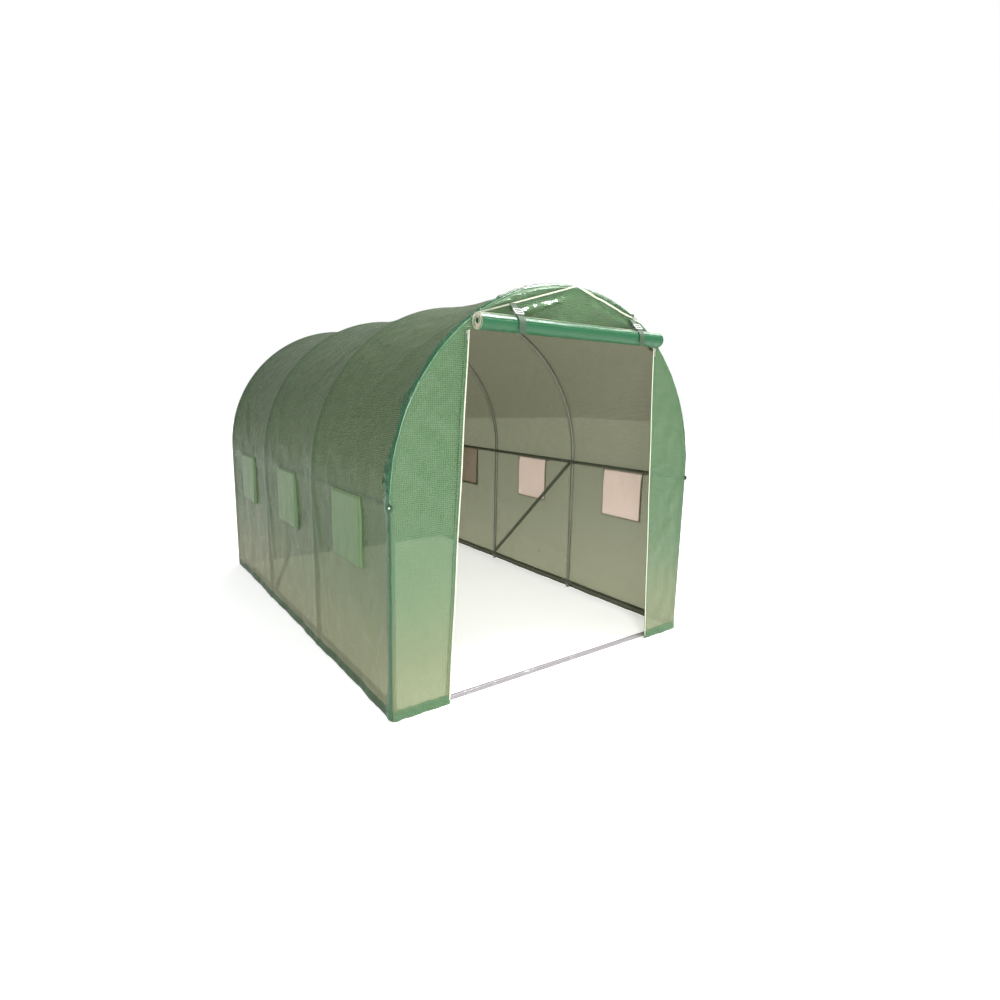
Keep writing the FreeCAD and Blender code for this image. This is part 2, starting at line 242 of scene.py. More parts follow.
def film_outside(name, green, low_green, through, gloss=0.30, crinkle=1.0, grid=0.55, ior=1.18):
    """The film's outer face: green, glossy, part of the light going through to its back."""
    finish = Finish(name)
    uv = finish.flat_layout()
    threads = scrim(finish, uv)
    height = finish.split(finish.place())[2]
    # painted light: towards the foot the film takes the paler low colour, standing in for the floor's
    # light seen through it
    floor_light_low = 1 - finish.fade(height, 0.0, 0.75)
    patches = finish.noise(uv, 1.6, 3.0)
    body = finish.tint(floor_light_low * 0.85 + patches * 0.15, green, low_green)
    pale = [(a + b) * 0.45 + 0.07 for a, b in zip(green, low_green)]
    colour = finish.tint(threads * grid, body, pale)
    streaks = finish.noise(uv, 9.0, 4.0)
    shade = finish.principled(
        {
            "Base Color": colour,
            "Roughness": streaks * 0.22 + (gloss - 0.08),
            "IOR": ior,
            "Specular IOR Level": 0.6,
            "Normal": film_bump(finish, uv, threads, crinkle),
        }
    )
    if through == 0:
        return finish.done(shade)
    clear = finish.node("BsdfTransparent", {}, {"Color": CLEAR_GREEN})
    share = through * (1 - threads * 0.4)
    return finish.done(finish.mixed(share, shade, clear))


def film_inside(name, grey, glow, through, crinkle=0.6):
    """The film's inner face, which the daylight outside shines through."""
    finish = Finish(name)
    uv = finish.flat_layout()
    threads = scrim(finish, uv)
    u, v, _ = finish.split(uv)
    drift = finish.noise(uv, 3.0, 2.0) * 0.05
    ripple = finish.stripe(u * 0.8 + v * 0.6 + drift, 0.017, 0.42)
    patches = finish.noise(uv, 2.2, 3.0) * 0.6 + ripple * 0.4
    pale = [c + (1 - c) * 0.30 for c in grey[:3]] + [1.0]
    dark = [c * 0.55 for c in grey[:3]] + [1.0]
    body = finish.tint(patches, dark, grey)
    shade = finish.principled(
        {
            "Base Color": finish.tint(threads * 0.6, body, pale),
            "Roughness": patches * 0.2 + 0.42,
            "Normal": film_bump(finish, uv, threads, crinkle),
        }
    )
    lit = finish.node("BsdfTranslucent", {}, {"Color": glow})
    both = finish.mixed(0.5 - threads * 0.15, shade, lit)
    clear = finish.node("BsdfTransparent", {}, {"Color": CLEAR_GREY})
    return finish.done(finish.mixed(through * (1 - threads * 0.5), both, clear))


# ---- other finishes --------------------------------------------------------------------------
def steel(name, light, dark, rough=0.42):
    """Galvanised tube: spangled zinc, slightly dulled, with a faint fine bump."""
    finish = Finish(name)
    place = finish.place()
    spangle = finish.node("TexVoronoi", {}, {"Vector": place, "Scale": 160.0}, "Color")
    grain = finish.split(spangle)[0]
    dull = finish.noise(place, 7.0, 4.0)
    mask = grain * 0.45 + dull * 0.55
    surface = finish.principled(
        {
            "Base Color": finish.tint(mask, dark, light),
            "Metallic": 0.7,
            "Roughness": dull * 0.25 + rough - 0.12,
            "Normal": finish.bump(finish.noise(place, 420.0, 2.0), 0.25, 0.0006),
        }
    )
    return finish.done(surface)


def matte_tube(name, light, dark, rough=0.5):
    """Flat-coated tube, a little scuffed; the rails' and braces' darker colours are painted shade."""
    finish = Finish(name)
    place = finish.place()
    scuffs = finish.fade(finish.noise(place, 26.0, 6.0, 0.7), 0.55, 0.75)
    peel = finish.noise(place, 700.0, 2.0)
    surface = finish.principled(
        {
            "Base Color": finish.tint(scuffs, dark, light),
            "Metallic": scuffs * 0.4 + 0.25,
            "Roughness": rough - scuffs * 0.15,
            "Normal": finish.bump(peel, 0.3, 0.0005),
        }
    )
    return finish.done(surface)


def webbing(name, light, dark):
    """Woven strap: ribs across it and a fine twill."""
    finish = Finish(name)
    uv = finish.flat_layout()
    u, v, _ = finish.split(uv)
    ribs = finish.stripe(v, 0.0024, 0.30)
    twill = finish.stripe(u + v * 0.5, 0.0018, 0.30)
    weave = ribs * 0.6 + twill * 0.4
    soil = finish.noise(uv, 40.0, 4.0)
    surface = finish.principled(
        {
            "Base Color": finish.tint(weave * 0.6 + soil * 0.4, dark, light),
            "Roughness": 0.55 + soil * 0.2,
            "Normal": finish.bump(weave, 0.6, 0.0006),
        }
    )
    return finish.done(surface)


def plastic(name, light, dark, rough=0.32):
    """Moulded nylon, faintly mottled."""
    finish = Finish(name)
    place = finish.place()
    mottle = finish.noise(place, 120.0, 4.0)
    surface = finish.principled(
        {
            "Base Color": finish.tint(mottle, dark, light),
            "Roughness": mottle * 0.2 + rough - 0.1,
            "Normal": finish.bump(mottle, 0.15, 0.0004),
        }
    )
    return finish.done(surface)


def insect_mesh(name):
    """Fine white netting, about half of it holes."""
    finish = Finish(name)
    uv = finish.flat_layout()
    u, v, _ = finish.split(uv)
    threads = finish.stripe(u, 0.0016, 0.24).maths("MAXIMUM", finish.stripe(v, 0.0016, 0.24))
    uneven = finish.noise(uv, 6.0, 3.0)
    surface = finish.principled(
        {
            "Base Color": finish.tint(uneven, rgb(172, 156, 142), rgb(202, 188, 174)),
            "Roughness": 0.6 + uneven * 0.15,
        }
    )
    clear = finish.node("BsdfTransparent", {}, {"Color": rgb(246, 236, 228)})
    return finish.done(finish.mixed(threads * 0.30 + 0.32, clear, surface))


# LOW_GREEN and LOW_OLIVE are painted light: the paler colours the film takes near the floor
GREEN = rgb(66, 118, 78)
LOW_GREEN = rgb(138, 144, 106)
OLIVE = rgb(36, 80, 48)
LOW_OLIVE = rgb(142, 142, 108)
GREY = rgb(92, 80, 66)
GLOW = rgb(124, 112, 90)

COVER_OUT = film_outside("cover_film_outside", OLIVE, LOW_OLIVE, 0.42, 0.27)
COVER_IN = film_inside("cover_film_inside", GREY, GLOW, 0.52)
GABLE_OUT = film_outside("gable_film_outside", GREEN, LOW_GREEN, 0.46, 0.18, ior=1.45)
GABLE_IN = film_inside("gable_film_inside", GREY, GLOW, 0.56)
FLAP_OUT = film_outside("flap_film_outside", rgb(92, 124, 84), rgb(116, 138, 98), 0.34)
FLAP_IN = film_inside("flap_film_inside", rgb(176, 170, 150), rgb(214, 208, 190), 0.30)
ROLL_OUT = film_outside(
    "door_roll_film", rgb(24, 84, 50), rgb(30, 90, 56), 0.0, gloss=0.20, crinkle=1.4, grid=0.30, ior=1.35
)
# HEM_OUT and HEM_IN are darker than the film: painted shade of the doubled hem, where less light comes
# through
HEM_OUT = film_outside("hem_film", rgb(72, 98, 68), rgb(72, 98, 68), 0.40)
HEM_FRONT = film_outside("front_hem_film", rgb(92, 128, 90), rgb(100, 136, 98), 0.40, 0.20)
HEM_IN = film_inside("hem_film_inside", rgb(40, 52, 38), rgb(60, 78, 56), 0.20)
SEAM = film_outside(
    "seam_film", rgb(26, 84, 50), rgb(48, 98, 62), 0.30, gloss=0.12, crinkle=1.6, grid=0.2, ior=1.5
)
PIPING = plastic("edge_piping", rgb(150, 184, 156), rgb(44, 96, 62), 0.20)
PATCH = film_outside("patch_film", rgb(36, 72, 46), rgb(44, 78, 50), 0.0, 0.35)
ROLL_EDGE = plastic("roll_edge_layers", rgb(240, 228, 208), rgb(208, 194, 170), 0.5)
HOOP_STEEL = steel("hoop_steel", rgb(150, 152, 138), rgb(92, 96, 84))
# rails and braces are the hoops' galvanised tube; their darker colours here are painted shade of tubes in
# shadow
RAIL_STEEL = matte_tube("rail_steel", rgb(128, 130, 112), rgb(74, 80, 64))
SILL_STEEL = matte_tube("sill_steel", rgb(206, 202, 200), rgb(150, 146, 148))
BOLT_ZINC = steel("bolt_zinc", rgb(150, 150, 142), rgb(92, 94, 88), 0.35)
STRAP_WEB = webbing("strap_webbing", rgb(64, 92, 66), rgb(30, 50, 34))
BUCKLE_NYLON = plastic("buckle_plastic", rgb(178, 182, 176), rgb(140, 146, 140), 0.22)
ZIP_TEETH = plastic("zip_teeth", rgb(240, 240, 222), rgb(206, 208, 184))
ZIP_METAL = steel("zip_metal", rgb(206, 206, 200), rgb(150, 150, 146), 0.28)
NET = insect_mesh("window_net")


# ---- making and hanging sheets ---------------------------------------------------------------
def stations(marks, step):
    """Positions from the first mark to the last, on every mark and no further apart than step."""
    marks = sorted(set(round(m, 6) for m in marks))
    out = [marks[0]]
    for a, b in zip(marks, marks[1:]):
        count = max(1, math.ceil((b - a) / step))
        out += [a + (b - a) * (i + 1) / count for i in range(count)]
    return np.array(out)


def cut_sheet(name, across, along):
    """A flat sheet divided at the given stations, its UV map its flat layout in metres."""
    bpy.ops.object.select_all(action="DESELECT")
    nu, nv = len(across) - 1, len(along) - 1
    bpy.ops.mesh.primitive_grid_add(x_subdivisions=nu, y_subdivisions=nv, size=1.0)
    sheet = bpy.context.object
    sheet.name = name
    sheet.data.name = name
    flat = points(sheet)
    flat[:, 0] = across[np.rint((flat[:, 0] + 0.5) * nu).astype(int)]
    flat[:, 1] = along[np.rint((flat[:, 1] + 0.5) * nv).astype(int)]
    put(sheet, flat)
    lay_out(sheet, flat)
    return sheet


def points(piece):
    out = np.zeros(len(piece.data.vertices) * 3)
    piece.data.vertices.foreach_get("co", out)
    return out.reshape(-1, 3)


def put(piece, where):
    piece.data.vertices.foreach_set("co", np.asarray(where, float).ravel())
    piece.data.update()


def lay_out(piece, flat):
    """Writes the flat places of the vertices as the UV map."""
    corners = np.zeros(len(piece.data.loops), int)
    piece.data.loops.foreach_get("vertex_index", corners)
    layer = piece.data.uv_layers.get("UVMap") or piece.data.uv_layers.new(name="UVMap")
    layer.data.foreach_set("uv", flat[corners][:, :2].astype(np.float32).ravel())


def only(piece):
    bpy.ops.object.select_all(action="DESELECT")
    piece.select_set(True)
    bpy.context.view_layer.objects.active = piece


def edit(piece, *steps):
    """Runs edit-mode steps on one piece."""
    only(piece)
    bpy.ops.object.mode_set(mode="EDIT")
    for step in steps:
        step()
    bpy.ops.object.mode_set(mode="OBJECT")


def select_faces(piece, wanted):
    """Selects the faces whose middles the function wants, and nothing else."""
    edit(piece, lambda: bpy.ops.mesh.select_all(action="DESELECT"))
    for face in piece.data.polygons:
        face.select = bool(wanted(face.center))


def facing(piece, away_from):
    """Turns the sheet's faces to look away from a point or line of the tunnel's middle."""
    total = sum((f.center - away_from(f.center)).dot(f.normal) * f.area for f in piece.data.polygons)
    if total < 0:
        edit(
            piece,
            lambda: bpy.ops.mesh.select_all(action="SELECT"),
            lambda: bpy.ops.mesh.flip_normals(),
        )


def thicken(piece, outside, inside, thickness=FILM, rim=None):
    """Gives a sheet its thickness inwards, with its own finish on each face."""
    for finish in (outside, inside, rim or outside):
        piece.data.materials.append(finish)
    wall = piece.modifiers.new("thickness", "SOLIDIFY")
    wall.thickness = thickness
    wall.offset = -1.0
    wall.material_offset = 1
    wall.material_offset_rim = 2
    only(piece)
    bpy.ops.object.modifier_apply(modifier=wall.name)
    bpy.ops.object.shade_smooth_by_angle(angle=math.radians(50))
    return piece


def wave(u, v, length, angle_deg, seed):
    """A wandering fold pattern from -1 to 1, its folds running at that angle."""
    a = math.radians(angle_deg)
    along = u * math.cos(a) + v * math.sin(a)
    across = -u * math.sin(a) + v * math.cos(a)
    bend = np.sin(along * 2.1 / length + seed * 1.7) + 0.6 * np.sin(along * 4.7 / length + seed)
    turn = 2 * np.pi * across / length
    first = np.sin(turn + 1.3 * bend + seed)
    second = np.sin(0.57 * turn + 0.9 * bend + 2.3 * seed)
    return first * (0.65 + 0.35 * second)


def bell(x, centre, width):
    return np.exp(-(((x - centre) / width) ** 2))


def smooth(x, start, end):
    t = np.clip((x - start) / (end - start), 0, 1)
    return t * t * (3 - 2 * t)


# ---- the tunnel's section --------------------------------------------------------------------
def section(s):
    """x, z and the outward direction at s along the girth, from the left foot to the right."""
    theta = np.clip((s - SPRING_Z) / SHELL_R, 0, np.pi)
    low = np.minimum(s, SPRING_Z) + np.minimum(GIRTH - s, SPRING_Z) - SPRING_Z
    straight = (s < SPRING_Z) | (s > GIRTH - SPRING_Z)
    nx = -np.cos(theta)
    nz = np.where(straight, 0.0, np.sin(theta))
    x = nx * SHELL_R
    z = np.where(straight, low, SPRING_Z + np.sin(theta) * SHELL_R)
    return x, z, nx, nz


def arch_half(z):
    """Half the tunnel's inner width at a height."""
    rise = np.clip(z - SPRING_Z, 0, SHELL_R)
    return np.sqrt(np.maximum(0.0, SHELL_R**2 - rise**2)) - FILM


def tunnel_line(point):
    """The nearest place on the tunnel's middle line, which outer faces look away from."""
    return Vector((0, point.y, min(point.z, SPRING_Z)))


def into_tunnel(point):
    """A place behind the front gable, which its outer faces look away from."""
    return point + Vector((0, 1, 0))


def window_middles():
    return [(a + b) / 2 for a, b in zip(HOOP_Y, HOOP_Y[1:])]


def film_rest(y, s):
    """How far inside its CAD face the stretched film lies: over a hoop it rests on the tube, and
    between hoops it draws in, held up by the rails."""
    hoops = np.array(HOOP_Y)
    gap = np.min(np.abs(y[:, None] - hoops), axis=1)
    bay = np.clip((y - HOOP_Y[0]) / (HOOP_Y[-1] - HOOP_Y[0]) * 3, 0, 3)
    mid_bay = np.abs(np.sin(np.pi * bay)) ** 0.8
    held = bell(s, MID_RAIL_Z, 0.05) + bell(s, GIRTH - MID_RAIL_Z, 0.05)
    held = held + bell(s, GIRTH / 2, 0.07) + bell(s, 0, 0.12) + bell(s, GIRTH, 0.12)
    arch = smooth(s, SPRING_Z, SPRING_Z + 0.4) * smooth(GIRTH - s, SPRING_Z, SPRING_Z + 0.4)
    free = 0.011 + 0.010 * arch
    sag = 0.0045 * (1 - bell(gap, 0, 0.030)) + free * mid_bay
    return sag * (1 - 0.5 * np.clip(held, 0, 1))


def film_folds(y, s):
    """Small folds of the stretched film, outwards positive."""
    wall = 1 - smooth(s, 0.8, 1.2) * smooth(GIRTH - s, 0.8, 1.2)
    gap = np.min(np.abs(y[:, None] - np.array(HOOP_Y)), axis=1)
    free = smooth(gap, 0.01, 0.12)
    diagonal = wave(y, s, 0.19, 52, 1.0) + 0.7 * wave(y, s, 0.13, -48, 2.2)
    upright = wave(y, s, 0.31, 80, 3.1) + 0.45 * wave(y, s, 0.17, 101, 4.4)
    folds = 0.0024 * diagonal * (1 - wall) + 0.0030 * upright * wall
    near_front = bell(y, FRONT_Y, 0.16)
    bunched = near_front * (bell(s, 0, 0.35) + bell(s, GIRTH, 0.35))
    crumple = near_front * smooth(s, 0.9, 1.1) * smooth(GIRTH - s, 0.9, 1.1)
    folds = folds * free + 0.0045 * bunched * wave(y, s, 0.055, 90, 5.0) * free
    return folds + 0.0030 * crumple * wave(y, s, 0.06, 25, 6.0)


CREASES = (
    # from (along, girth) to (along, girth), half width, height
    ((-1.43, 2.05), (-0.75, 1.25), 0.030, 0.007),
    ((-1.42, 1.55), (-0.95, 1.02), 0.022, 0.006),
    ((-0.44, 1.90), (0.20, 1.25), 0.030, -0.006),
    ((0.52, 1.70), (0.20, 1.02), 0.022, 0.006),
    ((1.50, 1.60), (0.95, 1.05), 0.026, -0.007),
    ((-0.46, 0.95), (-0.66, 0.10), 0.018, 0.006),
    ((0.53, 0.95), (0.40, 0.15), 0.020, 0.006),
    ((-1.40, 0.60), (-1.16, 0.05), 0.020, -0.005),
    ((-0.46, 3.20), (0.25, 3.95), 0.030, 0.006),
    ((0.55, 3.30), (1.10, 4.00), 0.026, 0.006),
    ((-1.40, 3.25), (-0.80, 3.90), 0.026, -0.006),
)


def creases(y, s):
    """The few long creases that run between the hoops and the rails."""
    total = np.zeros_like(y)
    for (y0, s0), (y1, s1), width, height in CREASES:
        run = np.array([y1 - y0, s1 - s0])
        length = np.hypot(*run)
        t = ((y - y0) * run[0] + (s - s0) * run[1]) / length**2
        off = ((y - y0) * run[1] - (s - s0) * run[0]) / length
        inside = smooth(t, 0.0, 0.2) * smooth(1 - t, 0.0, 0.25)
        total = total + height * inside * bell(off, 0, width)
    return total


def wall_places(y, s, lift=0.0):
    """Places on the stretched cover, lifted off it by a little. Past an end hoop the film turns
    round the tube, as far as the seam half way to the gable."""
    x, z, nx, nz = section(s)
    out = film_folds(y, s) + creases(y, s) - film_rest(y, s)
    ends = np.minimum(smooth(y, FRONT_Y, FRONT_Y + 0.05), smooth(-y, -REAR_Y, 0.05 - REAR_Y))
    out = out * (0.15 + 0.85 * ends) + lift
    front_turn = np.clip((HOOP_Y[0] - y) / CORNER_R, 0, 1) * np.pi / 4
    rear_turn = np.clip((y - HOOP_Y[-1]) / CORNER_R, 0, 1) * np.pi / 4
    turn = front_turn + rear_turn
    reach = CORNER_R + np.where(turn > 0, out, 0)
    y = np.where(front_turn > 0, HOOP_Y[0] - reach * np.sin(turn), y)
    y = np.where(rear_turn > 0, HOOP_Y[-1] + reach * np.sin(turn), y)
    out = np.where(turn > 0, reach * np.cos(turn) - CORNER_R, out)
    return np.stack([x + nx * out, y, z + nz * out], axis=1)


def turned_in(depth):
    """How far inside the gable's plane a point lies that is depth inside the cover's face, and how
    far it has moved in along the face, where the gable's film comes round the hoop."""
    turn = np.clip(1 - depth / CORNER_R, 0, 1) * np.pi / 4
    return CORNER_R * (1 - np.cos(turn)), CORNER_R * (1 - np.sin(turn))


def cover():
    """The arched cover, with its windows cut out."""
    windows = [m + side * WINDOW_HALF for m in window_middles() for side in (-1, 1)]
    ridges = [y + off for y in HOOP_Y[1:3] for off in (-0.03, -0.012, 0, 0.012, 0.03)]
    across = stations([FRONT_Y, FRONT_Y + 0.018, REAR_Y, *HOOP_Y, *windows, *ridges], 0.021)
    edges = (0, HEM, WINDOW_LOW_Z, WINDOW_HIGH_Z, MID_RAIL_Z, SPRING_Z)
    marks = [*edges, GIRTH / 2, *[GIRTH - e for e in edges]]
    sheet = cut_sheet("cover_film", across, stations(marks, 0.0195))
    flat = points(sheet)
    put(sheet, wall_places(flat[:, 0], flat[:, 1]))
    middles = window_middles()

    def in_window(point):
        inside = WINDOW_LOW_Z < point.z < WINDOW_HIGH_Z
        near = any(abs(point.y - m) < WINDOW_HALF for m in middles)
        return inside and near and abs(point.x) > SHELL_R * 0.9

    select_faces(sheet, in_window)
    edit(sheet, lambda: bpy.ops.mesh.delete(type="FACE"))
    facing(sheet, tunnel_line)
    thicken(sheet, COVER_OUT, COVER_IN)
    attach(sheet, ROOT)
    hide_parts("cover_sheet")


def on_side_girth(s, side):
    """A distance up from the foot on either side, as a distance along the girth."""
    return s if side == "left" else GIRTH - s


def wall_hem(side):
    """The film's lower edge, folded double and welded."""
    across = stations([FRONT_Y + 0.001, *HOOP_Y[1:3], REAR_Y - 0.001], 0.03)
    hem = cut_sheet(f"wall_hem_{side}", across, stations([0.0008, HEM - 0.004, HEM], 0.009))
    flat = points(hem)
    fold = 0.0016 + 0.0030 * bell(flat[:, 1], 0.012, 0.012)
    lift = fold + 0.0010 * wave(flat[:, 0], flat[:, 1], 0.09, 80, 2.0)
    put(hem, wall_places(flat[:, 0], on_side_girth(flat[:, 1], side), lift))
    facing(hem, tunnel_line)
    thicken(hem, HEM_OUT, HEM_IN, 0.0009)
    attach(hem, ROOT)


SLEEVE_LUMPS = (
    # place along the girth, half width, strength
    (1.12, 0.09, 1.0),
    (1.46, 0.06, 0.8),
    (1.75, 0.14, 0.5),
    (MID_RAIL_Z, 0.03, 0.5),
    (0.02, 0.10, 0.5),
    (2.25, 0.2, 0.5),
    (3.2, 0.2, 0.6),
    (3.8, 0.2, 0.4),
)


def front_sleeve():
    """The cover's loose front edge, gathered over the front hoop and down both its legs."""
    start = 0.004
    along = stations([start, GIRTH / 2, GIRTH - start], 0.010)
    sleeve = cut_sheet("front_sleeve", stations([0, SLEEVE], 0.006), along)
    flat = points(sleeve)
    t, s = flat[:, 0] / SLEEVE, flat[:, 1]
    lumps = sum(strength * bell(s, place, half) for place, half, strength in SLEEVE_LUMPS)
    width = np.minimum(0.45 + 0.55 * lumps + 0.10 * wave(s, s, 0.11, 90, 2.0), 1)
    flat[:, 0] *= width
    lay_out(sleeve, flat)
    y = FRONT_Y + 0.002 + t * width * SLEEVE
    crumple = np.abs(wave(y, s, 0.034, 35, 3.0)) + 0.7 * np.abs(wave(y, s, 0.021, -40, 5.0))
    dome = np.sin(np.pi * np.clip(t, 0, 1)) ** 0.7
    lift = 0.0012 + dome * (0.0020 + lumps * (0.0050 + 0.0065 * crumple))
    put(sleeve, wall_places(y, s, lift))
    facing(sleeve, tunnel_line)
    thicken(sleeve, SEAM, GABLE_IN, 0.0006)
    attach(sleeve, ROOT)
    size = (SLEEVE, GIRTH - 2 * start)
    area = float(np.mean(width)) * size[0] * size[1]


def arch_piping():
    """The welded edge cord where the cover meets the front gable, over the arch."""
    bpy.ops.object.select_all(action="DESELECT")
    place = (SHELL_R - SEAM_IN, FRONT_Y + SEAM_IN, SPRING_Z)
    bpy.ops.mesh.primitive_circle_add(vertices=10, radius=PIPING_R, location=place)
    cord = bpy.context.object
    cord.name = "arch_piping"
    bpy.ops.object.transform_apply(location=True)
    only(cord)
    bpy.ops.object.mode_set(mode="EDIT")
    bpy.ops.mesh.select_all(action="SELECT")
    centre = (0, FRONT_Y + SEAM_IN, SPRING_Z)
    bpy.ops.mesh.spin(steps=120, angle=math.pi, center=centre, axis=(0, 1, 0))
    bpy.ops.mesh.select_all(action="SELECT")
    bpy.ops.mesh.remove_doubles(threshold=0.00005)
    bpy.ops.mesh.normals_make_consistent(inside=False)
    bpy.ops.object.mode_set(mode="OBJECT")
    where = points(cord)
    angle = np.arctan2(where[:, 2] - SPRING_Z, where[:, 0])
    sway = 0.0016 * np.sin(angle * 37) + 0.0012 * np.sin(angle * 83 + 1)
    where[:, 1] += sway
    put(cord, where)
    cord.data.materials.append(PIPING)
    bpy.ops.object.shade_smooth()
    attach(cord, ROOT)


# ---- gables ----------------------------------------------------------------------------------
def door_edge(z):
    """Distance of the door's edge from the middle at a height."""
    low = ZIP_LOW.z
    return DOOR_HALF_END + (DOOR_HALF_TOP - DOOR_HALF_END) * (z - low) / (DOOR_TOP_Z - low)


def across_panel(t, z):
    """Distance from the middle on a front side panel: t runs from the leg, 0, to the zip, 1."""
    return arch_half(z) + (door_edge(z) - arch_half(z)) * t


def panel_places(side, t, z, lift=0.0):
    """Places on a front side panel, lifted off it by a little."""
    x = across_panel(t, z)
    back, depth = turned_in(arch_half(z) - x)
    x = np.where(back > 0, arch_half(z) - depth, x)
    loose = np.sin(np.pi * np.clip(t, 0, 1)) ** 0.7 * smooth(DOOR_TOP_Z - z, 0, 0.25)
    seed = 1.0 if side == "left" else 2.6
    folds = 0.0040 * wave(x, z, 0.13, 62, seed) + 0.0022 * wave(x, z, 0.06, 112, seed + 1)
    crease = -0.005 * bell(z, 0.80 - 0.12 * t, 0.03)
    hollow = 0.012 * bell(z, 1.25, 0.35) + 0.006 * bell(z, 0.35, 0.25)
    bunch = 0.007 * bell(z, 0, 0.28) * wave(x, z, 0.05, 80, seed + 2) * (1 - t)
    y = FRONT_Y + back + loose * (hollow - folds - crease - bunch) - lift
    return np.stack([SIGNS[side] * x, y, z], axis=1)


def cross_zip(panel):
    """Bakes a piece of the side panel's transform into its mesh."""
    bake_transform(panel)


def side_panel(side):
    """The front gable beside the doorway, from the leg to the zip."""
    across = stations([0, 0.015, 0.03, 0.045, 0.06, 0.075, 1], 1 / 22)
    along = stations([0, HEM, MID_RAIL_Z, SPRING_Z, DOOR_TOP_Z], 0.018)
    panel = cut_sheet(f"front_panel_{side}", across, along)
    flat = points(panel)
    t, z = flat[:, 0].copy(), flat[:, 1]
    flat[:, 0] = across_panel(t, z)
    lay_out(panel, flat)
    put(panel, panel_places(side, t, z))
    facing(panel, into_tunnel)
    thicken(panel, GABLE_OUT, GABLE_IN)
    cross_zip(panel)
    heights = np.linspace(0, DOOR_TOP_Z, 200)
    area = float(np.mean(arch_half(heights) - door_edge(heights)) * DOOR_TOP_Z)
    panel_hem(side)


def panel_hem(side):
    """The panel's folded lower edge, with its welded line."""
    hem = cut_sheet(f"front_hem_{side}", stations([0.01, 1], 1 / 22), stations([0.001, HEM], 0.008))
    flat = points(hem)
    t, z = flat[:, 0].copy(), flat[:, 1]
    flat[:, 0] = across_panel(t, z)
    lay_out(hem, flat)
    lift = 0.0016 + 0.0045 * bell(z, 0.014, 0.012) + 0.0022 * bell(z, HEM - 0.008, 0.006)
    put(hem, panel_places(side, t, z, lift))
    facing(hem, into_tunnel)
    thicken(hem, HEM_FRONT, HEM_IN, 0.0009)
    cross_zip(hem)


PEAK = (0.017, 1.999)  # where the header's two tight edges meet, under the crown
LEFT_TACK = (-0.576, 1.815)
RIGHT_TACK = (0.493, 1.866)


def tight_edge(x):
    """Height of the straight, tight edges that run down from the peak to the arch."""
    return np.interp(x, [LEFT_TACK[0], PEAK[0], RIGHT_TACK[0]], [LEFT_TACK[1], PEAK[1], RIGHT_TACK[1]])


def arch_z(x):
    return SPRING_Z + np.sqrt(np.maximum(0, (SHELL_R - FILM) ** 2 - x**2))


def header_y(x, z):
    """How the header lies: flat and tight below its two straight edges, crumpled above them."""
    top = arch_z(x)
    edge = np.minimum(tight_edge(x), top)
    span = smooth(x, LEFT_TACK[0], LEFT_TACK[0] + 0.08) * smooth(-x, -RIGHT_TACK[0], 0.08 - RIGHT_TACK[0])
    above = np.clip((z - edge) / np.maximum(top - edge, 0.004), 0, 1) * span
    below = np.clip((z - DOOR_TOP_Z) / np.maximum(edge - DOOR_TOP_Z, 0.01), 0, 1)
    crumple = wave(x, z, 0.045, 20, 7.0) + 0.6 * wave(x, z, 0.028, -38, 8.0)
    lune = np.sin(np.pi * above) * (0.012 + 0.0050 * crumple)
    left = bell(z - tight_edge(x) + 0.050, 0, 0.015) * smooth(x, -0.46, -0.38) * smooth(-x, 0.0, 0.12)
    left = left * (0.016 + 0.0050 * wave(x, z, 0.034, 30, 4.0))
    right = bell(z - tight_edge(x) + 0.055, 0, 0.020) * smooth(x, 0.06, 0.14) * smooth(-x, -0.46, -0.38)
    sag = np.sin(np.pi * below) * (1 - (above > 0)) * 0.006
    folds = 0.0026 * wave(x, z, 0.11, 24, 7.0) + 0.0018 * wave(x, z, 0.06, -30, 9.0)
    held = smooth(top - z, 0, 0.02) * smooth(z - DOOR_TOP_Z, 0, 0.02)
    return FRONT_Y + held * (sag + 0.004 * bell(z - edge, 0, 0.008) - lune - left - 0.010 * right - folds)


def round_the_hoop(x, y, z):
    """Takes the header's outermost film round the front hoop to the seam."""
    radius = np.hypot(x, z - SPRING_Z)
    back, depth = turned_in(SHELL_R - FILM - radius)
    over = np.where(z > SPRING_Z, back, 0)
    scale = np.where(over > 0, (SHELL_R - FILM - depth) / radius, 1)
    return np.stack([x * scale, y + over, SPRING_Z + (z - SPRING_Z) * scale], axis=1)


def corner_stud(side):
    """The washer and rivet that pin the film to the front leg at the mid rail."""
    out = Vector((SIGNS[side], -1, 0)).normalized()
    corner = Vector((SIGNS[side] * (SHELL_R - SEAM_IN), FRONT_Y + SEAM_IN, MID_RAIL_Z))
    turned = out.to_track_quat("Z", "Y").to_euler()
    kinds = (("washer", WASHER_R, WASHER_DEPTH, PATCH), ("rivet", RIVET_R, RIVET_DEPTH, ZIP_TEETH))
    for kind, radius, depth, finish in kinds:
        place = corner + out * (FILM + depth / 2)
        bpy.ops.mesh.primitive_cylinder_add(
            vertices=24, radius=radius, depth=depth, location=place, rotation=turned
        )
        piece = bpy.context.object
        piece.name = f"corner_{kind}_{side}"
        bpy.ops.object.transform_apply(location=True, rotation=True, scale=True)
        bpy.ops.object.shade_smooth_by_angle()
        piece.data.materials.append(finish)
        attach(piece, ROOT)


